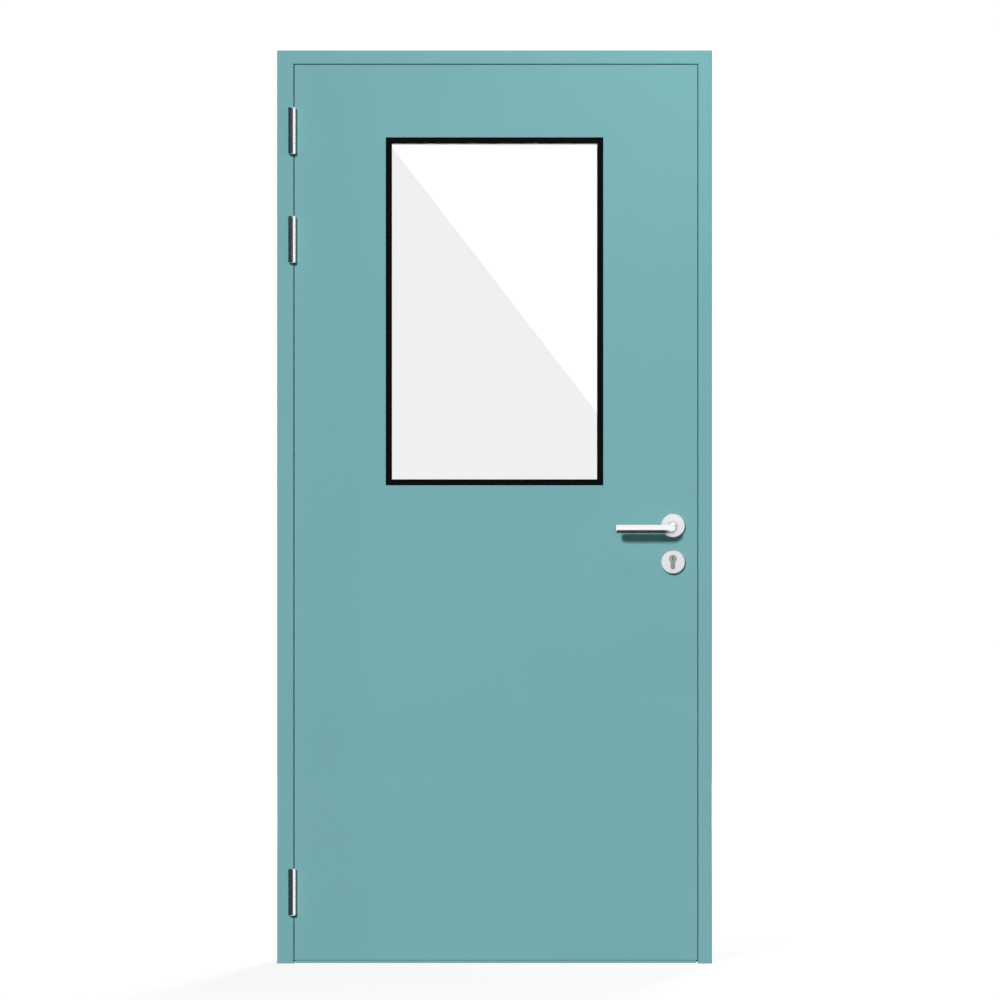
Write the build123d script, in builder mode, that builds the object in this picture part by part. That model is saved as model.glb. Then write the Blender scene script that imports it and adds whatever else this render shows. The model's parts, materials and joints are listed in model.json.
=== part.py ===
"""Single-leaf hinged door set for a clean room, all dimensions in millimetres.

The origin lies on the wall side of the hinge jamb, on its front lip, at floor level.
X runs across the door to the lock side, Y runs into the wall and Z runs up.
The door is shut, and its front, the side it opens to, faces -Y.
"""

import os

from build123d import *

os.makedirs("parts", exist_ok=True)

# Frame
FRAME_WIDTH = 1000.0
FRAME_HEIGHT = 2100.0
FRAME_DEPTH = 100.0
FRAME_SHEET = 2.0
BEND_RADIUS = 3.0
WALL_LIP = 18.0
HINGE_FACE = 35.0
LOCK_FACE = 28.0
HINGE_STOP = 25.0
LOCK_STOP = 20.0

# Leaf
LEAF_THICKNESS = 50.0
SKIN = 1.0
EDGE_GAP = 5.0
FLOOR_GAP = 8.0
LOCK_EDGE_BEVEL = 2.5
STOP_GAP = 10.0
SKIN_BEND = 1.0

# Window
WINDOW_WIDTH = 500.0
WINDOW_HEIGHT = 800.0
WINDOW_DROP = 200.0
BEAD_WIDTH = 13.5
BEAD_PROUD = 1.8
BEAD_BEVEL = 1.0
BEAD_LAP = 8.0
PANE = 5.0
PANE_INSET = 1.0
PANE_CLEARANCE = 2.0
SPACER_WALL = 3.0

# Seals
STOP_SEAL_WIDTH = 10.0
STOP_SEAL_HEIGHT = 5.0
GAP_SEAL_WIDTH = 8.0
GAP_SEAL_EDGE = 1.5
RAIL_HEIGHT = 20.0
RAIL_WALL = 2.0
SEAL_GROOVE = 16.0
SEAL_FOOT = 10.0
SEAL_SETBACK = 3.0
SEAL_FLOOR_GAP = 1.0

# Lever handle, key roses and lock
LEVER_HEIGHT = 1007.0
BACKSET = 57.0
LOCK_CENTRES = 84.0
ROSE_DIAMETER = 55.0
ROSE_THICKNESS = 9.0
ROSE_EDGE = 2.0
LEVER_DIAMETER = 20.0
LEVER_REACH = 136.0
LEVER_STANDOFF = 52.0
LEVER_DROP = 8.0
LEVER_BEND = 22.0
LEVER_COLLAR = 14.0
LEVER_TIP = 7.0
LEVER_START = 1.0
SPINDLE = 8.0
SPINDLE_HOLE = 20.0
KEY_BARREL = 17.0
KEY_LEG = 10.0
KEY_HEIGHT = 33.0
KEY_RECESS = 4.0
FOREND_WIDTH = 22.0
FOREND_HEIGHT = 235.0
FOREND_PLATE = 3.0
CASE_DEPTH = 88.0
CASE_HEIGHT = 170.0
CASE_THICKNESS = 16.0
CASE_POCKET = 2.0
BOLT_LENGTH = 30.0
BOLT_THICKNESS = 11.0
LATCH_HEIGHT = 20.0
LATCH_RISE = 40.0
LATCH_SLOPE = 8.0
DEAD_BOLT_HEIGHT = 32.0
DEAD_BOLT_DROP = 36.0
STRIKE_WIDTH = 25.0
STRIKE_HEIGHT = 200.0
STRIKE_MARGIN = 3.0

# Hinges
BOTTOM_HINGE = 165.0
TOP_HINGE_DROP = 185.0
UPPER_HINGE_SPACING = 250.0
HINGE_HEIGHT = 100.0
KNUCKLES = 5
BARREL_DIAMETER = 18.0
PIN_DIAMETER = 8.0
HINGE_PLATE = 3.0
HINGE_REACH = 38.0
BUTTON = 4.0
BUTTON_EDGE = 2.5
BACKING_PLATE = 5.0
BACKING_MARGIN = 12.0

# Wall fixings
FIXING_COUNT = 4
FIXING_MARGIN = 150.0
FIXING_HOLE = 9.0
SLEEVE_DIAMETER = 14.0

# Clearances
FIT = 0.2
RUNNING = 0.4
LEVER_CLEARANCE = 0.5
BARREL_CLEARANCE = 0.5
LIP_CLEARANCE = 1.0
SEAL_CLEARANCE = 1.0

# Places along the depth
FRONT = -WALL_LIP / 2
BACK = FRONT + LEAF_THICKNESS
LEAF_MIDDLE = FRONT + LEAF_THICKNESS / 2
REBATE = LEAF_THICKNESS + STOP_GAP
FIXING_Y = FRONT + FRAME_DEPTH - WALL_LIP - SLEEVE_DIAMETER / 2 - LIP_CLEARANCE
BARREL_STANDOFF = BARREL_DIAMETER / 2 + BARREL_CLEARANCE
BARREL_Y = FRONT - BARREL_STANDOFF
PLATE_DEPTH = HINGE_REACH - BARREL_STANDOFF
GAP_SEAL_DEPTH = BEND_RADIUS + SEAL_CLEARANCE

# Places across the width and the height
HEAD_FACE = LOCK_FACE
HEAD_STOP = LOCK_STOP
LOCK_REBATE_X = FRAME_WIDTH - LOCK_FACE
HINGE_SOFFIT_X = HINGE_FACE + HINGE_STOP
LOCK_SOFFIT_X = LOCK_REBATE_X - LOCK_STOP
LEAF_LEFT = HINGE_FACE + EDGE_GAP
LEAF_RIGHT = LOCK_REBATE_X - EDGE_GAP
LEAF_TOP = FRAME_HEIGHT - HEAD_FACE - EDGE_GAP
LEAF_HEIGHT = LEAF_TOP - FLOOR_GAP
BARREL_X = LEAF_LEFT + HINGE_PLATE - BARREL_DIAMETER / 2
SPINDLE_X = LEAF_RIGHT - BACKSET
KEY_Z = LEVER_HEIGHT - LOCK_CENTRES
LOCK_Z = (LEVER_HEIGHT + KEY_Z) / 2
TOP_HINGE = FRAME_HEIGHT - TOP_HINGE_DROP
HINGE_HEIGHTS = {"bottom": BOTTOM_HINGE, "middle": TOP_HINGE - UPPER_HINGE_SPACING, "top": TOP_HINGE}
FIXING_PITCH = (FRAME_HEIGHT - 2 * FIXING_MARGIN) / (FIXING_COUNT - 1)
FIXING_HEIGHTS = [FIXING_MARGIN + number * FIXING_PITCH for number in range(FIXING_COUNT)]

# Window sizes
CUT_WIDTH = WINDOW_WIDTH - 2 * BEAD_LAP
CUT_HEIGHT = WINDOW_HEIGHT - 2 * BEAD_LAP
PANE_WIDTH = CUT_WIDTH - 2 * PANE_CLEARANCE
PANE_HEIGHT = CUT_HEIGHT - 2 * PANE_CLEARANCE
CAVITY = LEAF_THICKNESS - 2 * (PANE_INSET + PANE)

# Planes
LEAF_FOOT = Plane.XY.offset(FLOOR_GAP)
HINGE_JAMB_FOOT = Plane(origin=(0, FRONT, 0))
LOCK_JAMB_FOOT = Plane(origin=(FRAME_WIDTH, FRONT, 0), x_dir=(-1, 0, 0), z_dir=(0, 0, -1))
HEAD_END = Plane(origin=(0, FRONT, FRAME_HEIGHT), x_dir=(0, 0, -1), z_dir=(1, 0, 0))
HINGE_MITRE = Plane(
    origin=(0, FRONT, FRAME_HEIGHT),
    x_dir=(HINGE_FACE, 0, -HEAD_FACE),
    z_dir=(HEAD_FACE, 0, HINGE_FACE),
)
LOCK_MITRE = Plane(
    origin=(FRAME_WIDTH, FRONT, FRAME_HEIGHT),
    x_dir=(-LOCK_FACE, 0, -HEAD_FACE),
    z_dir=(-HEAD_FACE, 0, LOCK_FACE),
)
LOCK_EDGE = Plane(
    origin=(LEAF_RIGHT - LOCK_EDGE_BEVEL / 2, LEAF_MIDDLE, LOCK_Z),
    x_dir=(-LOCK_EDGE_BEVEL, LEAF_THICKNESS, 0),
    z_dir=(LEAF_THICKNESS, LOCK_EDGE_BEVEL, 0),
)
WINDOW_FACE = Plane(
    origin=(FRAME_WIDTH / 2, FRONT, FRAME_HEIGHT - WINDOW_DROP - WINDOW_HEIGHT / 2),
    x_dir=(1, 0, 0),
    z_dir=(0, -1, 0),
)
LEVER_FACE = Plane(origin=(SPINDLE_X, FRONT, LEVER_HEIGHT), x_dir=(1, 0, 0), z_dir=(0, -1, 0))
KEY_FACE = Plane(origin=(SPINDLE_X, FRONT, KEY_Z), x_dir=(1, 0, 0), z_dir=(0, -1, 0))
RAIL_END = Plane(origin=(LEAF_LEFT + SKIN, LEAF_MIDDLE, FLOOR_GAP), x_dir=(0, 1, 0), z_dir=(1, 0, 0))
LEAF_MIRROR = Plane(origin=(0, LEAF_MIDDLE, 0), x_dir=(1, 0, 0), z_dir=(0, 1, 0))


def save(builder, label):
    """Name a finished sub-part and write its file."""
    builder.part.label = label
    export_step(builder.part, f"parts/{label}.step")


def save_mirrored(builder, label):
    """Write the twin of a front sub-part for the back of the leaf."""
    with BuildPart() as twin:
        mirror(builder.part, about=LEAF_MIRROR)
    save(twin, label)


def frame_section(face, stop):
    """Folded section of a frame member: X is the distance from the wall, Y the depth."""
    with BuildSketch() as section:
        with BuildLine():
            FilletPolyline(
                (0, WALL_LIP),
                (0, 0),
                (face, 0),
                (face, REBATE),
                (face + stop, REBATE),
                (face + stop, FRAME_DEPTH),
                (0, FRAME_DEPTH),
                (0, FRAME_DEPTH - WALL_LIP),
                radius=BEND_RADIUS,
            )
            offset(amount=FRAME_SHEET, side=Side.LEFT)
        make_face()
    return section.sketch


def seal_section(face, stop):
    """D-shaped seal on the stop of a frame member, in the same axes."""
    middle = face + stop / 2
    half = STOP_SEAL_WIDTH / 2
    with BuildSketch() as section:
        with BuildLine():
            Line((middle - half, REBATE), (middle + half, REBATE))
            ThreePointArc(
                (middle + half, REBATE),
                (middle, REBATE - STOP_SEAL_HEIGHT),
                (middle - half, REBATE),
            )
        make_face()
    return section.sketch


def gap_seal_section(face):
    """Soft strip on the rebate of a frame member, just behind the gap round the leaf."""
    with BuildSketch() as section:
        with Locations((face, GAP_SEAL_DEPTH)):
            Rectangle(EDGE_GAP - SEAL_CLEARANCE, GAP_SEAL_WIDTH, align=(Align.MIN, Align.MIN))
        fillet(section.vertices().group_by(Axis.X)[-1], GAP_SEAL_EDGE)
    return section.sketch


def leaf_section(near, far, inset):
    """Plan of the leaf between two depths, drawn in from its bevelled and its hinge edge."""
    slope = LOCK_EDGE_BEVEL / LEAF_THICKNESS
    with BuildSketch() as section:
        with BuildLine():
            Polyline(
                (LEAF_LEFT + inset, near),
                (LEAF_RIGHT - inset - slope * (near - FRONT), near),
                (LEAF_RIGHT - inset - slope * (far - FRONT), far),
                (LEAF_LEFT + inset, far),
                close=True,
            )
        make_face()
    return section.sketch


def key_profile(clearance):
    """Outline of a profile cylinder, centred on its height."""
    barrel_rise = (KEY_HEIGHT - KEY_BARREL) / 2
    leg_drop = (KEY_HEIGHT - KEY_LEG) / 2
    with BuildSketch() as outline:
        with Locations((0, barrel_rise)):
            Circle(KEY_BARREL / 2 + clearance)
        with Locations((0, -leg_drop)):
            Circle(KEY_LEG / 2 + clearance)
        with Locations((0, (barrel_rise - leg_drop) / 2)):
            Rectangle(KEY_LEG + 2 * clearance, barrel_rise + leg_drop)
    return outline.sketch


def hinge_cutter(x):
    """Three blocks that let the hinge plates into an edge at this place."""
    with BuildPart() as cutter:
        for height in HINGE_HEIGHTS.values():
            with Locations((x, FRONT, height)):
                Box(2 * (HINGE_PLATE + FIT), 2 * (PLATE_DEPTH + FIT), HINGE_HEIGHT + 2 * FIT)
    return cutter.part


# Frame members, mitred where they meet
with BuildPart() as hinge_jamb:
    with BuildSketch(HINGE_JAMB_FOOT):
        add(frame_section(HINGE_FACE, HINGE_STOP))
    extrude(amount=FRAME_HEIGHT)
    split(bisect_by=HINGE_MITRE, keep=Keep.BOTTOM)
    add(hinge_cutter(HINGE_FACE), mode=Mode.SUBTRACT)
    for height in FIXING_HEIGHTS:
        with Locations(Location((HINGE_SOFFIT_X, FIXING_Y, height), (0, 90, 0))):
            Cylinder(FIXING_HOLE / 2, 4 * FRAME_SHEET, mode=Mode.SUBTRACT)
save(hinge_jamb, "hinge_jamb")

with BuildPart() as lock_jamb:
    with BuildSketch(LOCK_JAMB_FOOT):
        add(frame_section(LOCK_FACE, LOCK_STOP))
    extrude(amount=-FRAME_HEIGHT)
    split(bisect_by=LOCK_MITRE, keep=Keep.BOTTOM)
    with Locations((LOCK_REBATE_X, LEAF_MIDDLE, LOCK_Z)):
        Box(4 * FRAME_SHEET, STRIKE_WIDTH + 2 * FIT, STRIKE_HEIGHT + 2 * FIT, mode=Mode.SUBTRACT)
    for height in FIXING_HEIGHTS:
        with Locations(Location((LOCK_SOFFIT_X, FIXING_Y, height), (0, 90, 0))):
            Cylinder(FIXING_HOLE / 2, 4 * FRAME_SHEET, mode=Mode.SUBTRACT)
save(lock_jamb, "lock_jamb")

with BuildPart() as head:
    with BuildSketch(HEAD_END):
        add(frame_section(HEAD_FACE, HEAD_STOP))
    extrude(amount=FRAME_WIDTH)
    split(bisect_by=HINGE_MITRE, keep=Keep.TOP)
    split(bisect_by=LOCK_MITRE, keep=Keep.TOP)
save(head, "head")


# Seals on the stops and in the gap round the leaf, mitred with the frame
def mitred_seals(kind, hinge_section, lock_section, head_section):
    with BuildPart() as hinge_side:
        with BuildSketch(HINGE_JAMB_FOOT):
            add(hinge_section)
        extrude(amount=FRAME_HEIGHT)
        split(bisect_by=HINGE_MITRE, keep=Keep.BOTTOM)
    save(hinge_side, f"hinge_jamb_{kind}")

    with BuildPart() as lock_side:
        with BuildSketch(LOCK_JAMB_FOOT):
            add(lock_section)
        extrude(amount=-FRAME_HEIGHT)
        split(bisect_by=LOCK_MITRE, keep=Keep.BOTTOM)
    save(lock_side, f"lock_jamb_{kind}")

    with BuildPart() as top_side:
        with BuildSketch(HEAD_END):
            add(head_section)
        extrude(amount=FRAME_WIDTH)
        split(bisect_by=HINGE_MITRE, keep=Keep.TOP)
        split(bisect_by=LOCK_MITRE, keep=Keep.TOP)
    save(top_side, f"head_{kind}")


mitred_seals(
    "seal",
    seal_section(HINGE_FACE, HINGE_STOP),
    seal_section(LOCK_FACE, LOCK_STOP),
    seal_section(HEAD_FACE, HEAD_STOP),
)
mitred_seals(
    "gap_seal",
    gap_seal_section(HINGE_FACE),
    gap_seal_section(LOCK_FACE),
    gap_seal_section(HEAD_FACE),
)

# Sleeves that carry the wall fixings across the open back of each jamb
with BuildPart() as hinge_jamb_sleeves:
    for height in FIXING_HEIGHTS:
        with BuildSketch(Plane(origin=(0, FIXING_Y, height), x_dir=(0, 1, 0), z_dir=(1, 0, 0))):
            Circle(SLEEVE_DIAMETER / 2)
            Circle(FIXING_HOLE / 2, mode=Mode.SUBTRACT)
        extrude(amount=HINGE_SOFFIT_X - FRAME_SHEET)
save(hinge_jamb_sleeves, "hinge_jamb_sleeves")

with BuildPart() as lock_jamb_sleeves:
    for height in FIXING_HEIGHTS:
        with BuildSketch(Plane(origin=(FRAME_WIDTH, FIXING_Y, height), x_dir=(0, 1, 0), z_dir=(1, 0, 0))):
            Circle(SLEEVE_DIAMETER / 2)
            Circle(FIXING_HOLE / 2, mode=Mode.SUBTRACT)
        extrude(amount=LOCK_SOFFIT_X + FRAME_SHEET - FRAME_WIDTH)
save(lock_jamb_sleeves, "lock_jamb_sleeves")

# Backing plates welded inside the hinge jamb
with BuildPart() as hinge_backing_plates:
    for height in HINGE_HEIGHTS.values():
        with Locations((HINGE_FACE - FRAME_SHEET, FRONT + 2 * FRAME_SHEET, height)):
            Box(
                BACKING_PLATE,
                PLATE_DEPTH + BACKING_MARGIN,
                HINGE_HEIGHT + 2 * BACKING_MARGIN,
                align=(Align.MAX, Align.MIN, Align.CENTER),
            )
    add(hinge_cutter(HINGE_FACE), mode=Mode.SUBTRACT)
save(hinge_backing_plates, "hinge_backing_plates")

# Strike plate, flush in the rebate of the lock jamb
with BuildPart() as strike_plate:
    with BuildSketch(Plane(origin=(LOCK_REBATE_X, LEAF_MIDDLE, LOCK_Z), x_dir=(0, 1, 0), z_dir=(1, 0, 0))):
        Rectangle(STRIKE_WIDTH, STRIKE_HEIGHT)
        with Locations((0, LATCH_RISE)):
            Rectangle(
                BOLT_THICKNESS + STRIKE_MARGIN, LATCH_HEIGHT + STRIKE_MARGIN, mode=Mode.SUBTRACT
            )
        with Locations((0, -DEAD_BOLT_DROP)):
            Rectangle(
                BOLT_THICKNESS + STRIKE_MARGIN, DEAD_BOLT_HEIGHT + STRIKE_MARGIN, mode=Mode.SUBTRACT
            )
    extrude(amount=FRAME_SHEET)
save(strike_plate, "strike_plate")


# Leaf skins: two trays that meet at mid-thickness, open at the foot
def leaf_skin(label, near, far, inner_near, inner_far, outward):
    with BuildPart() as skin:
        with BuildSketch(LEAF_FOOT):
            add(leaf_section(near, far, 0))
        extrude(amount=LEAF_HEIGHT)
        outer_face = skin.faces().sort_by(outward)[-1]
        fillet(outer_face.edges().sort_by(Axis.Z)[1:], SKIN_BEND)
        with BuildSketch(LEAF_FOOT):
            add(leaf_section(inner_near, inner_far, SKIN))
        extrude(amount=LEAF_HEIGHT - SKIN, mode=Mode.SUBTRACT)
        with BuildSketch(WINDOW_FACE):
            Rectangle(CUT_WIDTH, CUT_HEIGHT)
        extrude(amount=-LEAF_THICKNESS, mode=Mode.SUBTRACT)
        with BuildSketch(LEVER_FACE):
            Circle(SPINDLE_HOLE / 2)
        extrude(amount=-LEAF_THICKNESS, mode=Mode.SUBTRACT)
        with BuildSketch(KEY_FACE):
            add(key_profile(LEVER_CLEARANCE))
        extrude(amount=-LEAF_THICKNESS, mode=Mode.SUBTRACT)
        with BuildSketch(LOCK_EDGE):
            Rectangle(FOREND_WIDTH + 2 * FIT, FOREND_HEIGHT + 2 * FIT)
        extrude(amount=-FOREND_PLATE, both=True, mode=Mode.SUBTRACT)
        add(hinge_cutter(LEAF_LEFT), mode=Mode.SUBTRACT)
    save(skin, label)


leaf_skin("front_skin", FRONT, LEAF_MIDDLE, FRONT + SKIN, LEAF_MIDDLE, -Axis.Y)
leaf_skin("back_skin", LEAF_MIDDLE, BACK, LEAF_MIDDLE, BACK - SKIN, Axis.Y)

# Core between the skins, cut away round the window, the hinges and the lock
with BuildPart() as leaf_core:
    with BuildSketch(LEAF_FOOT.offset(RAIL_HEIGHT)):
        add(leaf_section(FRONT + SKIN, BACK - SKIN, SKIN))
    extrude(amount=LEAF_HEIGHT - RAIL_HEIGHT - SKIN)
    with BuildSketch(WINDOW_FACE):
        Rectangle(CUT_WIDTH, CUT_HEIGHT)
    extrude(amount=-LEAF_THICKNESS, mode=Mode.SUBTRACT)
    with BuildSketch(LEVER_FACE):
        Circle(SPINDLE_HOLE / 2)
    extrude(amount=-LEAF_THICKNESS, mode=Mode.SUBTRACT)
    with BuildSketch(KEY_FACE):
        add(key_profile(LEVER_CLEARANCE))
    extrude(amount=-LEAF_THICKNESS, mode=Mode.SUBTRACT)
    with BuildSketch(LOCK_EDGE):
        Rectangle(FOREND_WIDTH + 2 * FIT, FOREND_HEIGHT + 2 * FIT)
    extrude(amount=-FOREND_PLATE, mode=Mode.SUBTRACT)
    with BuildSketch(LOCK_EDGE):
        Rectangle(CASE_THICKNESS + 2 * CASE_POCKET, CASE_HEIGHT + 2 * CASE_POCKET)
    extrude(amount=-FOREND_PLATE - CASE_DEPTH - CASE_POCKET, mode=Mode.SUBTRACT)
    add(hinge_cutter(LEAF_LEFT), mode=Mode.SUBTRACT)
save(leaf_core, "leaf_core")

# Rail and sealing strip in the foot of the leaf
RAIL_LENGTH = LEAF_RIGHT - LOCK_EDGE_BEVEL - LEAF_LEFT - 2 * SKIN
RAIL_ALIGN = (Align.CENTER, Align.MIN)
with BuildPart() as foot_rail:
    with BuildSketch(RAIL_END):
        Rectangle(LEAF_THICKNESS - 2 * SKIN, RAIL_HEIGHT, align=RAIL_ALIGN)
        Rectangle(SEAL_GROOVE, RAIL_HEIGHT - RAIL_WALL, align=RAIL_ALIGN, mode=Mode.SUBTRACT)
    extrude(amount=RAIL_LENGTH)
save(foot_rail, "foot_rail")

with BuildPart() as foot_seal:
    with BuildSketch(RAIL_END):
        Rectangle(SEAL_GROOVE - 2 * FIT, SEAL_FOOT, align=RAIL_ALIGN)
        with Locations((0, SEAL_FLOOR_GAP - FLOOR_GAP)):
            Rectangle(LEAF_THICKNESS - 2 * SEAL_SETBACK, FLOOR_GAP - SEAL_FLOOR_GAP, align=RAIL_ALIGN)
    extrude(amount=RAIL_LENGTH)
save(foot_seal, "foot_seal")

# Double glazing
with BuildPart() as front_glass:
    with BuildSketch(WINDOW_FACE.offset(-PANE_INSET)):
        Rectangle(PANE_WIDTH, PANE_HEIGHT)
    extrude(amount=-PANE)
save(front_glass, "front_glass")
save_mirrored(front_glass, "back_glass")

with BuildPart() as glazing_spacer:
    with BuildSketch(WINDOW_FACE.offset(-PANE_INSET - PANE)):
        Rectangle(PANE_WIDTH, PANE_HEIGHT)
        Rectangle(PANE_WIDTH - 2 * SPACER_WALL, PANE_HEIGHT - 2 * SPACER_WALL, mode=Mode.SUBTRACT)
    extrude(amount=-CAVITY)
save(glazing_spacer, "glazing_spacer")


# Mitred glazing beads: each laps the skin and bears on the pane
def frame_corners(inset):
    """Corners of the window outline drawn in by an inset, clockwise from the top left."""
    half_width = WINDOW_WIDTH / 2 - inset
    half_height = WINDOW_HEIGHT / 2 - inset
    return [
        (-half_width, half_height),
        (half_width, half_height),
        (half_width, -half_height),
        (-half_width, -half_height),
    ]


def bead_outline(side, outer, inner):
    """Mitred outline of the bead on one side of the window between two insets."""
    following = (side + 1) % 4
    with BuildSketch() as outline:
        Polygon(
            frame_corners(outer)[side],
            frame_corners(outer)[following],
            frame_corners(inner)[following],
            frame_corners(inner)[side],
            align=None,
        )
    return outline.sketch


for side, place in enumerate(("top", "right", "bottom", "left")):
    along = Axis.Z if side % 2 else Axis.X
    with BuildPart() as bead:
        with BuildSketch(WINDOW_FACE):
            add(bead_outline(side, 0, BEAD_WIDTH))
        extrude(amount=BEAD_PROUD)
        chamfer(bead.faces().sort_by(Axis.Y)[0].edges().filter_by(along), BEAD_BEVEL)
        with BuildSketch(WINDOW_FACE):
            add(bead_outline(side, BEAD_LAP + FIT, BEAD_WIDTH))
        extrude(amount=-PANE_INSET)
    save(bead, f"front_bead_{place}")
    save_mirrored(bead, f"back_bead_{place}")

# Lever handles on a square spindle
with BuildPart() as front_lever:
    with BuildLine(LEVER_FACE) as lever_path:
        FilletPolyline(
            (0, 0, LEVER_START),
            (0, 0, LEVER_COLLAR),
            (0, -LEVER_DROP, LEVER_STANDOFF),
            (-LEVER_REACH, -LEVER_DROP, LEVER_STANDOFF),
            radius=LEVER_BEND,
        )
    with BuildSketch(LEVER_FACE.offset(LEVER_START)):
        Circle(LEVER_DIAMETER / 2)
    sweep(path=lever_path.line)
    fillet(front_lever.faces().sort_by(Axis.X)[0].edges(), LEVER_TIP)
save(front_lever, "front_lever")
save_mirrored(front_lever, "back_lever")

with BuildPart() as spindle:
    with BuildSketch(LEVER_FACE.offset(LEVER_START)):
        Rectangle(SPINDLE, SPINDLE)
    extrude(amount=-LEAF_THICKNESS - 2 * LEVER_START)
save(spindle, "spindle")

# Roses
with BuildPart() as front_rose:
    with BuildSketch(LEVER_FACE):
        Circle(ROSE_DIAMETER / 2)
        Circle(LEVER_DIAMETER / 2 + LEVER_CLEARANCE, mode=Mode.SUBTRACT)
    extrude(amount=ROSE_THICKNESS)
    fillet(front_rose.faces().sort_by(Axis.Y)[0].outer_wire().edges(), ROSE_EDGE)
save(front_rose, "front_rose")
save_mirrored(front_rose, "back_rose")

with BuildPart() as front_key_rose:
    with BuildSketch(KEY_FACE):
        Circle(ROSE_DIAMETER / 2)
        add(key_profile(FIT), mode=Mode.SUBTRACT)
    extrude(amount=ROSE_THICKNESS)
    fillet(front_key_rose.faces().sort_by(Axis.Y)[0].outer_wire().edges(), ROSE_EDGE)
save(front_key_rose, "front_key_rose")
save_mirrored(front_key_rose, "back_key_rose")

# Profile cylinder through the leaf
with BuildPart() as lock_cylinder:
    with BuildSketch(KEY_FACE.offset(ROSE_THICKNESS - KEY_RECESS)):
        add(key_profile(0))
    extrude(amount=-LEAF_THICKNESS - 2 * (ROSE_THICKNESS - KEY_RECESS))
save(lock_cylinder, "lock_cylinder")

# Lock case, forend and bolts on the bevelled lock edge
BOLT_PLACES = {"latch_bolt": (LATCH_RISE, LATCH_HEIGHT), "dead_bolt": (-DEAD_BOLT_DROP, DEAD_BOLT_HEIGHT)}

with BuildPart() as lock_case:
    with BuildSketch(LOCK_EDGE.offset(-FOREND_PLATE)):
        Rectangle(CASE_THICKNESS, CASE_HEIGHT)
    extrude(amount=-CASE_DEPTH)
    for rise, bolt_height in BOLT_PLACES.values():
        with BuildSketch(LOCK_EDGE):
            with Locations((0, rise)):
                Rectangle(BOLT_THICKNESS + 2 * FIT, bolt_height + 2 * FIT)
        extrude(amount=-BOLT_LENGTH, mode=Mode.SUBTRACT)
    with BuildSketch(LEVER_FACE):
        Circle(SPINDLE_HOLE / 2)
    extrude(amount=-LEAF_THICKNESS, mode=Mode.SUBTRACT)
    with BuildSketch(KEY_FACE):
        add(key_profile(LEVER_CLEARANCE))
    extrude(amount=-LEAF_THICKNESS, mode=Mode.SUBTRACT)
save(lock_case, "lock_case")

with BuildPart() as forend:
    with BuildSketch(LOCK_EDGE):
        Rectangle(FOREND_WIDTH, FOREND_HEIGHT)
        for rise, bolt_height in BOLT_PLACES.values():
            with Locations((0, rise)):
                Rectangle(BOLT_THICKNESS + 2 * FIT, bolt_height + 2 * FIT, mode=Mode.SUBTRACT)
    extrude(amount=-FOREND_PLATE)
save(forend, "forend")

for label, (rise, bolt_height) in BOLT_PLACES.items():
    with BuildPart() as bolt:
        with BuildSketch(LOCK_EDGE):
            with Locations((0, rise)):
                Rectangle(BOLT_THICKNESS, bolt_height)
        extrude(amount=-BOLT_LENGTH)
        if label == "latch_bolt":
            outer_edges = bolt.edges().filter_by(Axis.Z).sort_by(Axis.X)[-2:]
            chamfer(outer_edges.sort_by(Axis.Y)[-1], LATCH_SLOPE)
    save(bolt, label)


# Hinges: the frame half carries the pin, the leaf half turns on it
def knuckle_places(height, first):
    """Centres of every other knuckle of a hinge, from the first one named."""
    pitch = HINGE_HEIGHT / KNUCKLES
    return [
        (BARREL_X, BARREL_Y, height + (number - (KNUCKLES - 1) / 2) * pitch)
        for number in range(first, KNUCKLES, 2)
    ]


def hinge_halves(name, height):
    pitch = HINGE_HEIGHT / KNUCKLES
    clear_radius = BARREL_DIAMETER / 2 + RUNNING
    with BuildPart() as frame_half:
        with Locations((HINGE_FACE, BARREL_Y, height)):
            Box(HINGE_PLATE, HINGE_REACH, HINGE_HEIGHT, align=(Align.MAX, Align.MIN, Align.CENTER))
        with Locations(*knuckle_places(height, 1)):
            Cylinder(clear_radius, pitch + RUNNING, mode=Mode.SUBTRACT)
        with Locations(*knuckle_places(height, 0)):
            Cylinder(BARREL_DIAMETER / 2, pitch - RUNNING)
        with Locations((BARREL_X, BARREL_Y, height)):
            Cylinder(PIN_DIAMETER / 2, HINGE_HEIGHT + 2 * BUTTON)
        for end in (-1, 1):
            with Locations((BARREL_X, BARREL_Y, height + end * (HINGE_HEIGHT + BUTTON) / 2)):
                Cylinder(BARREL_DIAMETER / 2, BUTTON)
        tips = frame_half.faces().filter_by(Axis.Z).sort_by(Axis.Z)
        fillet(tips[0].edges() + tips[-1].edges(), BUTTON_EDGE)
    save(frame_half, f"{name}_hinge_frame_half")

    with BuildPart() as leaf_half:
        with Locations((LEAF_LEFT, BARREL_Y, height)):
            Box(HINGE_PLATE, HINGE_REACH, HINGE_HEIGHT, align=(Align.MIN, Align.MIN, Align.CENTER))
        with Locations(*knuckle_places(height, 0)):
            Cylinder(clear_radius, pitch + RUNNING, mode=Mode.SUBTRACT)
        with Locations(*knuckle_places(height, 1)):
            Cylinder(BARREL_DIAMETER / 2, pitch - RUNNING)
            Cylinder(PIN_DIAMETER / 2 + FIT, pitch, mode=Mode.SUBTRACT)
    save(leaf_half, f"{name}_hinge_leaf_half")


for name, height in HINGE_HEIGHTS.items():
    hinge_halves(name, height)
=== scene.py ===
import json
import math

import bmesh
import bpy
from mathutils import Matrix, Vector


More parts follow.
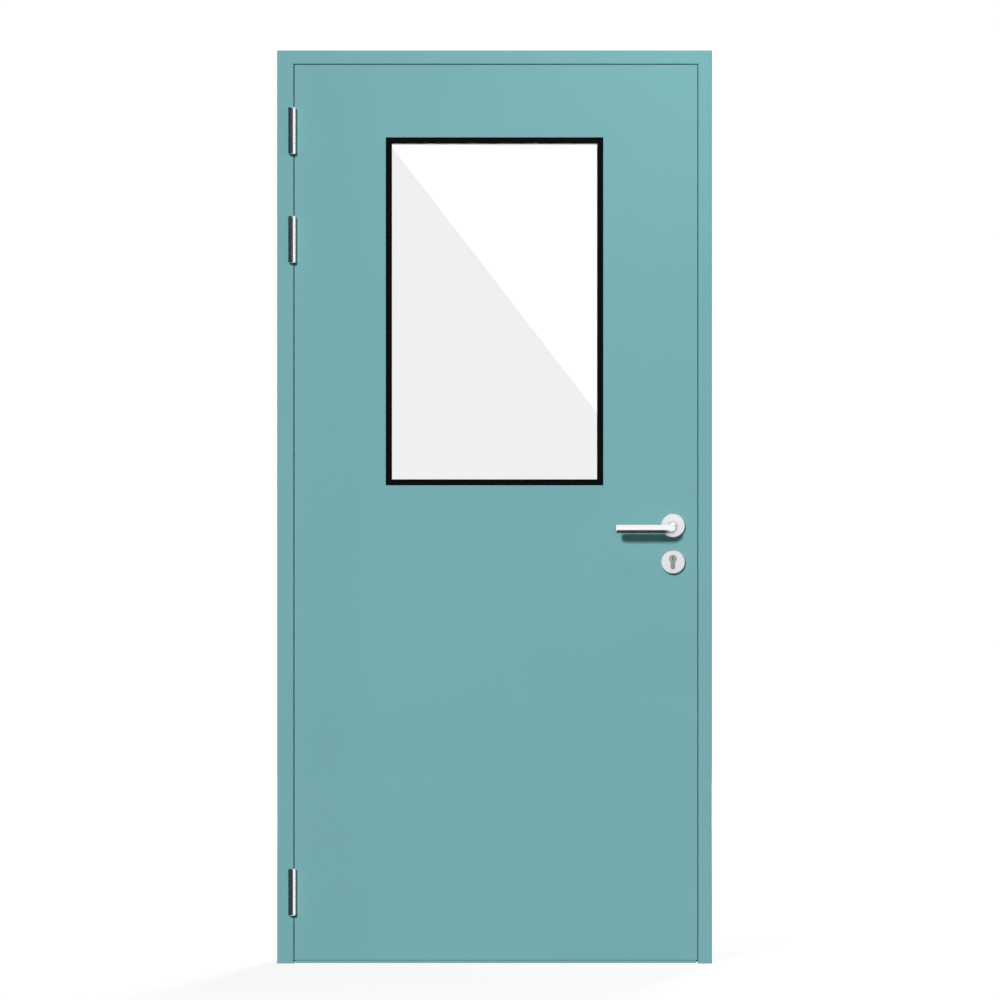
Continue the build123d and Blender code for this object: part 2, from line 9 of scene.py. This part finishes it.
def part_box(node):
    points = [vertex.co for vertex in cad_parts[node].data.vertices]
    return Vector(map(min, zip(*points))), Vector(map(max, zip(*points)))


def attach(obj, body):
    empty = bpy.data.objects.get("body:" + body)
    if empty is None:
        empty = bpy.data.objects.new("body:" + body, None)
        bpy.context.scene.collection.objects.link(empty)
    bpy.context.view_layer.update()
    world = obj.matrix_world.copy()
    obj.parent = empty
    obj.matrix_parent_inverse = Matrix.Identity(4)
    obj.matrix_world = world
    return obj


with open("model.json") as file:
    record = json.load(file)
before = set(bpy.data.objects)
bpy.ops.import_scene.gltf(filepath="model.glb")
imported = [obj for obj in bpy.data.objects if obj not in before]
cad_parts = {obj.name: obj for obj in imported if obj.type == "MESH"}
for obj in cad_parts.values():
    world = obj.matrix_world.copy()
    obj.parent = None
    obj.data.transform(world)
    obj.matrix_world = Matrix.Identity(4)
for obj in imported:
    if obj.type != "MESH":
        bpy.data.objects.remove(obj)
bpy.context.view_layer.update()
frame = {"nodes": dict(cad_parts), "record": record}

nodes = frame["nodes"]

# Sizes in metres, in the frame of the part
FACE_Y = -0.009
PANE_INSET = 0.001
VIEW_X = 0.5127
VIEW_Z = 1.066
VIEW_WIDTH = 2.2997
CAMERA_DISTANCE = 14.0
SENSOR = 36.0
DOOR_MIDDLE = Vector((0.5, 0.0, 1.05))

# Light levels
FLOOR_GLOW_NEAR = 0.80
FLOOR_GLOW_FAR = 1.0
FLOOR_GLOW_REACH = 6.0
FLOOR_COLOUR = 0.25
FLOOR_SIZE = 30
FILL_LIGHT = 0.06
REFLECTED_LIGHT = 1.08
WHITE_LIGHT = 1.02
KEY_DIRECTION = Vector((-0.37, -1.0, 0.39))
KEY_DISTANCE = 60.0
KEY_SIZE = 9.0
KEY_POWER = 46200
BACK_LIGHT_PLACE = Vector((2.5, 9.0, 4.0))
BACK_LIGHT_SIZE = 2.0
BACK_LIGHT_POWER = 1000
CORNER_LIGHT_PLACE = Vector((1.10, -0.75, 2.30))
CORNER_LIGHT_TARGET = Vector((0.80, 0.0, 1.87))
CORNER_LIGHT_SIZE = 0.3
CORNER_LIGHT_POWER = 1.4
FLAG_GLOW = (0.035, 0.058, 0.072)
DARK_CARD = (0.02, 0.02, 0.02)
WHITE_CARD = (1.05, 1.05, 1.05)
BRIGHT_CARD = (3.6, 3.6, 3.6)
PANE_DIAGONAL = ((0.270, 1.870), (0.735, 1.268))

# Hardware places
HINGE_FACE_X = 0.035
LEAF_EDGE_X = 0.040
LOCK_REBATE_X = 0.972
LEAF_MIDDLE_Y = 0.016
LOCK_Z = 0.965
FOREND_X = 0.96575
FOREND_OUTWARD = (50.0, 2.5, 0)
FOREND_SCREW_RISE = 0.105
STRIKE_SCREW_RISE = 0.088
KEY_BARREL_RADIUS = 0.0085
PLUG_RADIUS = 0.0066
PLUG_PROUD = 0.0010
KEYWAY_HALF = (0.0011, 0.0042)
SCREW_RADIUS = 0.0036
SCREW_PROUD = 0.0005
HINGE_SCREWS = ((-0.036, 0.0075), (-0.012, 0.0150), (0.012, 0.0075), (0.036, 0.0150))


# Shader helpers
def new_material(name):
    material = bpy.data.materials.new(name)
    material.use_nodes = True
    tree = material.node_tree
    tree.nodes.clear()
    output = tree.nodes.new("ShaderNodeOutputMaterial")
    return material, tree, output


def principled(tree, output, **values):
    shader = tree.nodes.new("ShaderNodeBsdfPrincipled")
    for name, value in values.items():
        shader.inputs[name.replace("_", " ")].default_value = value
    tree.links.new(shader.outputs["BSDF"], output.inputs["Surface"])
    return shader


def object_coordinates(tree, scale):
    """Object coordinates stretched by a scale for each axis."""
    place = tree.nodes.new("ShaderNodeTexCoord")
    mapping = tree.nodes.new("ShaderNodeMapping")
    mapping.inputs["Scale"].default_value = scale
    tree.links.new(place.outputs["Object"], mapping.inputs["Vector"])
    return mapping.outputs["Vector"]


def noise(tree, scale, detail=2.0):
    texture = tree.nodes.new("ShaderNodeTexNoise")
    texture.inputs["Scale"].default_value = 1.0
    texture.inputs["Detail"].default_value = detail
    tree.links.new(object_coordinates(tree, scale), texture.inputs["Vector"])
    return texture.outputs["Fac"]


def spread(tree, value, low, high):
    """Map a noise value to a range."""
    node = tree.nodes.new("ShaderNodeMapRange")
    node.inputs["From Min"].default_value = 0.3
    node.inputs["From Max"].default_value = 0.7
    node.inputs["To Min"].default_value = low
    node.inputs["To Max"].default_value = high
    tree.links.new(value, node.inputs["Value"])
    return node.outputs["Result"]


def two_tone(tree, value, dark, light):
    node = tree.nodes.new("ShaderNodeMix")
    node.data_type = "RGBA"
    node.inputs["A"].default_value = (*dark, 1)
    node.inputs["B"].default_value = (*light, 1)
    tree.links.new(spread(tree, value, 0.0, 1.0), node.inputs["Factor"])
    return node.outputs["Result"]


def bump(tree, shader, height, strength, distance):
    node = tree.nodes.new("ShaderNodeBump")
    node.inputs["Strength"].default_value = strength
    node.inputs["Distance"].default_value = distance
    tree.links.new(height, node.inputs["Height"])
    tree.links.new(node.outputs["Normal"], shader.inputs["Normal"])


# Materials of the part
def powder_coat(name, dark, light):
    material, tree, output = new_material(name)
    shader = principled(tree, output, Roughness=0.42, Specular_IOR_Level=0.15)
    tree.links.new(two_tone(tree, noise(tree, (3, 3, 3)), dark, light), shader.inputs["Base Color"])
    bump(tree, shader, noise(tree, (420, 420, 420)), 0.10, 0.0004)
    return material


def brushed_metal(name, dark, light, grain, rough):
    material, tree, output = new_material(name)
    shader = principled(tree, output, Metallic=1.0)
    streaks = noise(tree, grain, 3.0)
    tree.links.new(two_tone(tree, streaks, dark, light), shader.inputs["Base Color"])
    tree.links.new(spread(tree, streaks, rough - 0.05, rough + 0.05), shader.inputs["Roughness"])
    return material


def satin(name, dark, light, rough, grain=200, gloss=0.5):
    material, tree, output = new_material(name)
    shader = principled(tree, output, Roughness=rough, Specular_IOR_Level=gloss)
    speck = noise(tree, (grain, grain, grain))
    tree.links.new(two_tone(tree, speck, dark, light), shader.inputs["Base Color"])
    bump(tree, shader, speck, 0.08, 0.0003)
    return material


def clear_glass(name):
    material, tree, output = new_material(name)
    shader = principled(tree, output, Roughness=0.0, IOR=1.5)
    shader.inputs["Transmission Weight"].default_value = 1.0
    tint = two_tone(tree, noise(tree, (2, 2, 2)), (0.938, 0.944, 0.938), (0.942, 0.948, 0.942))
    tree.links.new(tint, shader.inputs["Base Color"])
    return material


TEAL = ((0.173, 0.393, 0.413), (0.179, 0.403, 0.423))
PAINT = powder_coat("teal powder coat", *TEAL)
ACROSS_GRAIN = (120, 3600, 3600)
UPWARD_GRAIN = (3600, 3600, 120)
STAINLESS = brushed_metal("brushed stainless", (0.84, 0.84, 0.84), (0.90, 0.90, 0.90), ACROSS_GRAIN, 0.30)
# Darker copy of the brushed stainless, for the roses: painted shade
SHADED_ROSE_STEEL = brushed_metal("rose stainless with painted shade", (0.70, 0.70, 0.71), (0.78, 0.78, 0.79), ACROSS_GRAIN, 0.32)
BARREL_STEEL = brushed_metal("hinge stainless", (0.84, 0.85, 0.86), (0.90, 0.90, 0.90), UPWARD_GRAIN, 0.14)
BLACK = satin("satin black", (0.003, 0.0035, 0.004), (0.005, 0.006, 0.0065), 0.45, 200, 0.0)
GLASS = clear_glass("clear glass")
# Seal in the gaps, a darker teal than the paint: partly the seal's own colour, partly painted shade of the
# gap
GAP_SEAL_AND_SHADE = satin("gap seal with painted shade", (0.132, 0.308, 0.325), (0.145, 0.332, 0.350), 0.7, 200, 0.2)
SEAL_LIP = satin("seal lip", *TEAL, 0.6, 200, 0.15)
FOOT_SEAL = satin("foot seal", (0.175, 0.370, 0.390), (0.190, 0.400, 0.420), 0.7, 200, 0.2)
SPACER = satin("matt black", (0.002, 0.002, 0.0025), (0.004, 0.004, 0.005), 0.9, 200, 0.0)
ZINC = brushed_metal("zinc plate", (0.42, 0.44, 0.46), (0.58, 0.60, 0.62), (80, 80, 80), 0.45)
ALUMINIUM = brushed_metal("mill aluminium", (0.60, 0.61, 0.62), (0.70, 0.71, 0.72), (30, 800, 800), 0.38)
# Nickel of the lock cylinder and of its plugs, darker than the metal's own tone: partly nickel colour,
# partly painted shade of the keyhole recess
NICKEL_AND_RECESS_SHADE = brushed_metal("satin nickel and painted recess shade", (0.30, 0.30, 0.31), (0.36, 0.36, 0.37), (2400, 2400, 2400), 0.40)
PLUG_AND_RECESS_SHADE = brushed_metal("plug nickel and painted recess shade", (0.38, 0.38, 0.39), (0.44, 0.44, 0.45), (2400, 2400, 2400), 0.36)
# Near black for the floors of the shallow screw sockets and keyways: painted shade of deep recesses
RECESS_SHADE_BLACK = satin("painted recess shade", (0.004, 0.004, 0.004), (0.010, 0.010, 0.010), 0.6)
CARD = satin("paper core", (0.36, 0.25, 0.14), (0.46, 0.34, 0.20), 0.9, 60)

SLOT_MATERIALS = {
    "teal_paint": PAINT,
    "stainless": STAINLESS,
    "black_trim": BLACK,
    "clear_glass": GLASS,
    "grey_seal": GAP_SEAL_AND_SHADE,
    "zinc_steel": ZINC,
    "mill_aluminium": ALUMINIUM,
    "nickel_brass": NICKEL_AND_RECESS_SHADE,
    "honeycomb": CARD,
}
NODE_MATERIALS = {"glazing_spacer": SPACER, "foot_seal": FOOT_SEAL}


def material_of(name, slot):
    if "_hinge_" in name:
        return BARREL_STEEL
    # Roses take the darker stainless copy, which carries painted shade
    if name.endswith("_rose"):
        return SHADED_ROSE_STEEL
    return NODE_MATERIALS.get(name, SLOT_MATERIALS[slot])


for entry in frame["record"]["subparts"]:
    node = nodes[entry["node"]]
    node.data.materials.clear()
    node.data.materials.append(material_of(entry["node"], entry["material_slot"]))


# Seal lips that fill the rounded edge of the frame, as places across the gap and behind the face
LIP_PROFILE = (
    (0.0006, 0.0001),
    (0.0013, 0.0003),
    (0.0021, 0.0009),
    (0.0027, 0.0017),
    (0.0030, 0.0030),
    (0.0030, 0.0040),
    (0.0057, 0.0040),
    (0.0057, 0.0004),
    (0.0054, 0.0001),
)
HINGE_CORNER = Vector((0.032, FACE_Y, 2.075))
LOCK_CORNER = Vector((0.975, FACE_Y, 2.075))
LEFT, RIGHT, UP, DOWN = Vector((-1, 0, 0)), Vector((1, 0, 0)), Vector((0, 0, 1)), Vector((0, 0, -1))


def lip_strip(start, along, across, length, cuts):
    """Strip of the lip profile from a start point, mitred along the cut planes."""
    bm = bmesh.new()
    corners = [bm.verts.new(start + across * side + Vector((0, behind, 0))) for side, behind in LIP_PROFILE]
    moved = bmesh.ops.extrude_face_region(bm, geom=[bm.faces.new(corners)])["geom"]
    ends = [item for item in moved if isinstance(item, bmesh.types.BMVert)]
    bmesh.ops.translate(bm, verts=ends, vec=along * length)
    for place, normal in cuts:
        every = bm.verts[:] + bm.edges[:] + bm.faces[:]
        bmesh.ops.bisect_plane(bm, geom=every, plane_co=place, plane_no=normal, clear_outer=True)
    bmesh.ops.holes_fill(bm, edges=bm.edges, sides=0)
    bmesh.ops.recalc_face_normals(bm, faces=bm.faces)
    return bm


def seal_lip(name, strips):
    """One lip on the frame, made of strips."""
    mesh = bpy.data.meshes.new(name)
    joined = bmesh.new()
    for strip in strips:
        strip.to_mesh(mesh)
        strip.free()
        joined.from_mesh(mesh)
    joined.to_mesh(mesh)
    joined.free()
    mesh.materials.append(SEAL_LIP)
    piece = bpy.data.objects.new(name, mesh)
    bpy.context.scene.collection.objects.link(piece)
    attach(piece, "frame")


def hinge_side_strips():
    """Strips between the hinges, from the floor to the mitre at the head."""
    strips = []
    foot = 0.0
    for hinge in ("bottom", "middle", "top"):
        low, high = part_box(hinge + "_hinge_frame_half")
        start = Vector((HINGE_CORNER.x, FACE_Y, foot))
        strips.append(lip_strip(start, UP, RIGHT, low[2] - foot, []))
        foot = high[2]
    start = Vector((HINGE_CORNER.x, FACE_Y, foot))
    strips.append(lip_strip(start, UP, RIGHT, HINGE_CORNER.z - foot, [(HINGE_CORNER, RIGHT + UP)]))
    return strips


def lock_side_strip():
    start = Vector((LOCK_CORNER.x, FACE_Y, 0))
    return lip_strip(start, UP, LEFT, LOCK_CORNER.z, [(LOCK_CORNER, LEFT + UP)])


def head_strip():
    width = LOCK_CORNER.x - HINGE_CORNER.x
    cuts = [(HINGE_CORNER, LEFT + DOWN), (LOCK_CORNER, RIGHT + DOWN)]
    return lip_strip(HINGE_CORNER, RIGHT, DOWN, width, cuts)


seal_lip("hinge_jamb_seal_lip", hinge_side_strips())
seal_lip("lock_jamb_seal_lip", [lock_side_strip()])
seal_lip("head_seal_lip", [head_strip()])


# Small hardware: screw heads, lock plugs and keyways
def facing(place, outward):
    """Matrix that stands a piece modelled along +Z on a place, along an outward direction."""
    turn = Vector((0, 0, 1)).rotation_difference(Vector(outward))
    return Matrix.Translation(place) @ turn.to_matrix().to_4x4()


def top_face(faces):
    return max(faces, key=lambda face: (face.normal.z > 0.9, face.calc_center_median().z))


def sink(bm, faces, depth):
    """Push faces down into the piece and return the floor of the recess."""
    moved = bmesh.ops.extrude_face_region(bm, geom=faces)["geom"]
    corners = [item for item in moved if isinstance(item, bmesh.types.BMVert)]
    bmesh.ops.translate(bm, verts=corners, vec=(0, 0, -depth))
    bmesh.ops.delete(bm, geom=faces, context="FACES_ONLY")
    return [item for item in moved if isinstance(item, bmesh.types.BMFace)]


def screw_head():
    """Countersunk head with a shallow socket whose floor takes the second material, painted shade, its rim
    on z = 0.
    """
    bm = bmesh.new()
    bmesh.ops.create_cone(
        bm, cap_ends=True, segments=32, radius1=SCREW_RADIUS, radius2=0.9 * SCREW_RADIUS, depth=SCREW_PROUD
    )
    bmesh.ops.translate(bm, verts=bm.verts, vec=(0, 0, SCREW_PROUD / 2))
    bm.normal_update()
    face = top_face(bm.faces)
    bmesh.ops.inset_region(bm, faces=[face], thickness=0.45 * SCREW_RADIUS)
    # Socket floor in the second material: painted shade
    for floor in sink(bm, [face], 0.9 * SCREW_PROUD):
        floor.material_index = 1
    return bm


def lock_plug():
    """Round plug of the cylinder with a shallow keyway sunk into it, the keyway floor taking the second
    material, painted shade, its foot on z = 0.
    """
    bm = bmesh.new()
    bmesh.ops.create_cone(
        bm, cap_ends=True, segments=64, radius1=PLUG_RADIUS, radius2=0.96 * PLUG_RADIUS, depth=PLUG_PROUD
    )
    bmesh.ops.translate(bm, verts=bm.verts, vec=(0, 0, PLUG_PROUD / 2))
    for axis, half in enumerate(KEYWAY_HALF):
        for side in (-1, 1):
            normal = Vector((0, 0, 0))
            normal[axis] = side
            every = bm.verts[:] + bm.edges[:] + bm.faces[:]
            bmesh.ops.bisect_plane(bm, geom=every, plane_co=normal * half, plane_no=normal)
    bm.normal_update()
    slot_faces = [
        face
        for face in bm.faces
        if face.normal.z > 0.9
        and abs(face.calc_center_median().x) < KEYWAY_HALF[0]
        and abs(face.calc_center_median().y) < KEYWAY_HALF[1]
    ]
    # Keyway floor in the second material: painted shade
    for floor in sink(bm, slot_faces, 0.95 * PLUG_PROUD):
        floor.material_index = 1
    return bm


def hardware(name, form, places, materials, body):
    """One piece made of copies of a form at several places."""
    mesh = bpy.data.meshes.new(name)
    joined = bmesh.new()
    for place, outward in places:
        single = form()
        bmesh.ops.transform(single, matrix=facing(place, outward), verts=single.verts)
        bmesh.ops.recalc_face_normals(single, faces=single.faces)
        single.to_mesh(mesh)
        single.free()
        joined.from_mesh(mesh)
    joined.to_mesh(mesh)
    joined.free()
    piece = bpy.data.objects.new(name, mesh)
    bpy.context.scene.collection.objects.link(piece)
    for material in materials:
        mesh.materials.append(material)
    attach(piece, body)


def hinge_screws(hinge):
    low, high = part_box(hinge + "_hinge_frame_half")
    middle = (low[2] + high[2]) / 2
    for half, body, x, outward in (("frame", "frame", HINGE_FACE_X, 1), ("leaf", "leaf", LEAF_EDGE_X, -1)):
        places = [((x, y, middle + rise), (outward, 0, 0)) for rise, y in HINGE_SCREWS]
        name = f"{hinge}_hinge_{half}_screws"
        hardware(name, screw_head, places, (BARREL_STEEL, RECESS_SHADE_BLACK), body)


def lock_screws():
    forend = [
        ((FOREND_X, LEAF_MIDDLE_Y, LOCK_Z + side * FOREND_SCREW_RISE), FOREND_OUTWARD) for side in (-1, 1)
    ]
    hardware("forend_screws", screw_head, forend, (STAINLESS, RECESS_SHADE_BLACK), "leaf")
    strike = [
        ((LOCK_REBATE_X, LEAF_MIDDLE_Y, LOCK_Z + side * STRIKE_SCREW_RISE), (-1, 0, 0)) for side in (-1, 1)
    ]
    hardware("strike_screws", screw_head, strike, (STAINLESS, RECESS_SHADE_BLACK), "frame")


def lock_plugs():
    low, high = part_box("lock_cylinder")
    x = (low[0] + high[0]) / 2
    z = high[2] - KEY_BARREL_RADIUS
    for name, y, outward in (("front_lock_plug", low[1], -1), ("back_lock_plug", high[1], 1)):
        places = [((x, y, z), (0, outward, 0))]
        # Plug metal partly painted shade of the recess, keyway floor painted shade
        hardware(name, lock_plug, places, (PLUG_AND_RECESS_SHADE, RECESS_SHADE_BLACK), "leaf")


for hinge in ("bottom", "middle", "top"):
    hinge_screws(hinge)
lock_screws()
lock_plugs()


# Stage: floor, white surroundings, lights, reflected cards and camera
def stage_object(name, mesh, material):
    item = bpy.data.objects.new(name, mesh)
    bpy.context.scene.collection.objects.link(item)
    item.data.materials.append(material)
    return item


def larger(tree, first, second):
    node = tree.nodes.new("ShaderNodeMath")
    node.operation = "MAXIMUM"
    tree.links.new(first, node.inputs[0])
    tree.links.new(second, node.inputs[1])
    return node.outputs["Value"]


def seen_directly(tree):
    """1 for rays from the camera and for rays through the glass, 0 for the rest, with the ray's facts."""
    path = tree.nodes.new("ShaderNodeLightPath")
    return larger(tree, path.outputs["Is Camera Ray"], path.outputs["Is Transmission Ray"]), path


def floor_level(tree):
    """Glow of the floor, lower beside the door so that its shadow shows, and white far away."""
    distance = tree.nodes.new("ShaderNodeVectorMath")
    distance.operation = "LENGTH"
    tree.links.new(object_coordinates(tree, (1, 1, 1)), distance.inputs[0])
    level = tree.nodes.new("ShaderNodeMapRange")
    level.inputs["From Max"].default_value = FLOOR_GLOW_REACH
    level.inputs["To Min"].default_value = FLOOR_GLOW_NEAR
    level.inputs["To Max"].default_value = FLOOR_GLOW_FAR
    tree.links.new(distance.outputs["Value"], level.inputs["Value"])
    return level.outputs["Result"]


def floor_material():
    material, tree, output = new_material("pale floor")
    diffuse = tree.nodes.new("ShaderNodeBsdfDiffuse")
    diffuse.inputs["Color"].default_value = (FLOOR_COLOUR, FLOOR_COLOUR, FLOOR_COLOUR, 1)
    glow = tree.nodes.new("ShaderNodeEmission")
    direct, path = seen_directly(tree)
    seen = larger(tree, direct, path.outputs["Is Glossy Ray"])
    strength = tree.nodes.new("ShaderNodeMath")
    strength.operation = "MULTIPLY"
    tree.links.new(seen, strength.inputs[0])
    tree.links.new(floor_level(tree), strength.inputs[1])
    tree.links.new(strength.outputs["Value"], glow.inputs["Strength"])
    both = tree.nodes.new("ShaderNodeAddShader")
    tree.links.new(diffuse.outputs["BSDF"], both.inputs[0])
    tree.links.new(glow.outputs["Emission"], both.inputs[1])
    tree.links.new(both.outputs["Shader"], output.inputs["Surface"])
    return material


def make_floor():
    mesh = bpy.data.meshes.new("floor")
    bm = bmesh.new()
    bmesh.ops.create_grid(bm, x_segments=1, y_segments=1, size=FLOOR_SIZE)
    bm.to_mesh(mesh)
    bm.free()
    return stage_object("floor", mesh, floor_material())


def surroundings():
    world = bpy.data.worlds.new("surroundings")
    bpy.context.scene.world = world
    world.use_nodes = True
    tree = world.node_tree
    tree.nodes.clear()
    output = tree.nodes.new("ShaderNodeOutputWorld")
    background = tree.nodes.new("ShaderNodeBackground")
    background.inputs["Color"].default_value = (1, 1, 1, 1)
    direct, path = seen_directly(tree)
    fill = tree.nodes.new("ShaderNodeMix")
    fill.data_type = "FLOAT"
    fill.inputs["A"].default_value = FILL_LIGHT
    fill.inputs["B"].default_value = REFLECTED_LIGHT
    tree.links.new(path.outputs["Is Glossy Ray"], fill.inputs["Factor"])
    white = tree.nodes.new("ShaderNodeMix")
    white.data_type = "FLOAT"
    white.inputs["B"].default_value = WHITE_LIGHT
    tree.links.new(direct, white.inputs["Factor"])
    tree.links.new(fill.outputs["Result"], white.inputs["A"])
    tree.links.new(white.outputs["Result"], background.inputs["Strength"])
    tree.links.new(background.outputs["Background"], output.inputs["Surface"])


def area_light(name, place, target, size, power):
    data = bpy.data.lights.new(name, "AREA")
    data.size = size
    data.energy = power
    lamp = bpy.data.objects.new(name, data)
    lamp.location = place
    lamp.rotation_mode = "QUATERNION"
    lamp.rotation_quaternion = (Vector(target) - Vector(place)).to_track_quat("-Z", "Y")
    lamp.visible_camera = False
    lamp.visible_glossy = False
    bpy.context.scene.collection.objects.link(lamp)


def glow_material(name, colour):
    material, tree, output = new_material(name)
    glow = tree.nodes.new("ShaderNodeEmission")
    glow.inputs["Color"].default_value = (*colour, 1)
    tree.links.new(glow.outputs["Emission"], output.inputs["Surface"])
    return material


def reflected_point(x, z, card_y):
    """Point of a card in front of the door that the camera sees mirrored at x, z on the front pane."""
    mirror_y = FACE_Y + PANE_INSET + CAMERA_DISTANCE
    share = (mirror_y - card_y) / CAMERA_DISTANCE
    return Vector((VIEW_X + (x - VIEW_X) * share, card_y, VIEW_Z + (z - VIEW_Z) * share))


def glossy_card(name, middle, half_sizes, turn, colour, cut=None):
    """Flat card that shows only in reflections, trimmed along a line where one is given."""
    mesh = bpy.data.meshes.new(name)
    bm = bmesh.new()
    size = Matrix.Diagonal((half_sizes[0], half_sizes[1], 1, 1))
    place = Matrix.Translation(middle) @ turn.to_4x4() @ size
    bmesh.ops.create_grid(bm, x_segments=1, y_segments=1, size=1, matrix=place)
    if cut:
        every = bm.verts[:] + bm.edges[:] + bm.faces[:]
        bmesh.ops.bisect_plane(bm, geom=every, plane_co=cut[0], plane_no=cut[1], clear_outer=True)
    bm.to_mesh(mesh)
    bm.free()
    card = stage_object(name, mesh, glow_material(name, colour))
    card.visible_camera = False
    card.visible_diffuse = False
    card.visible_transmission = False
    card.visible_shadow = False


def pane_card(name, low, high, card_y, colour, diagonal=None):
    """Upright card that the front pane mirrors between two corners, below or above a diagonal."""
    first = reflected_point(*low, card_y)
    last = reflected_point(*high, card_y)
    half_sizes = ((last.x - first.x) / 2, (last.z - first.z) / 2)
    cut = None
    if diagonal:
        start = reflected_point(*diagonal[0], card_y)
        stop = reflected_point(*diagonal[1], card_y)
        cut = (start, Vector((start.z - stop.z, 0, stop.x - start.x)) * -1)
    glossy_card(name, (first + last) / 2, half_sizes, UPRIGHT, colour, cut)


def make_camera():
    data = bpy.data.cameras.new("camera")
    data.sensor_width = SENSOR
    data.lens = SENSOR * CAMERA_DISTANCE / VIEW_WIDTH
    data.clip_end = 200
    camera = bpy.data.objects.new("camera", data)
    camera.location = (VIEW_X, FACE_Y - CAMERA_DISTANCE, VIEW_Z)
    camera.rotation_euler = (math.radians(90), 0, 0)
    bpy.context.scene.collection.objects.link(camera)
    bpy.context.scene.camera = camera


UPRIGHT = Matrix.Rotation(math.radians(90), 3, "X")
SIDEWAYS = Matrix.Rotation(math.radians(90), 3, "Y")
LEVEL = Matrix.Identity(3)

make_floor()
surroundings()
make_camera()
area_light("key light", DOOR_MIDDLE + KEY_DIRECTION * KEY_DISTANCE, DOOR_MIDDLE, KEY_SIZE, KEY_POWER)
area_light("back light", BACK_LIGHT_PLACE, DOOR_MIDDLE, BACK_LIGHT_SIZE, BACK_LIGHT_POWER)
area_light("corner light", CORNER_LIGHT_PLACE, CORNER_LIGHT_TARGET, CORNER_LIGHT_SIZE, CORNER_LIGHT_POWER)
pane_card("dark pane card", (0.24, 1.09), (0.76, 1.91), -16.0, DARK_CARD)
pane_card("bright pane card", (0.24, 1.04), (0.90, 2.20), -15.9, BRIGHT_CARD, PANE_DIAGONAL)

# Cards that the hinge barrels and the lever reflect: middle, half sizes, turn and glow
glossy_card("left flag", Vector((-0.020, -0.150, 1.050)), (1.050, 0.450), SIDEWAYS, FLAG_GLOW)
glossy_card("hinge flag", Vector((0.090, -0.150, 1.050)), (0.110, 1.050), UPRIGHT, FLAG_GLOW)
glossy_card("lever flag", Vector((0.950, -0.860, 0.600)), (0.350, 0.800), LEVEL, DARK_CARD)
glossy_card("lever foot flag", Vector((0.840, -0.052, 0.890)), (0.080, 0.040), LEVEL, DARK_CARD)
glossy_card("lever top card", Vector((0.850, -0.055, 1.021)), (0.076, 0.035), LEVEL, WHITE_CARD)
glossy_card("hinge card", Vector((0.050, -0.0275, 1.050)), (1.050, 0.0145), SIDEWAYS, WHITE_CARD)

bpy.context.scene.view_settings.view_transform = "Standard"
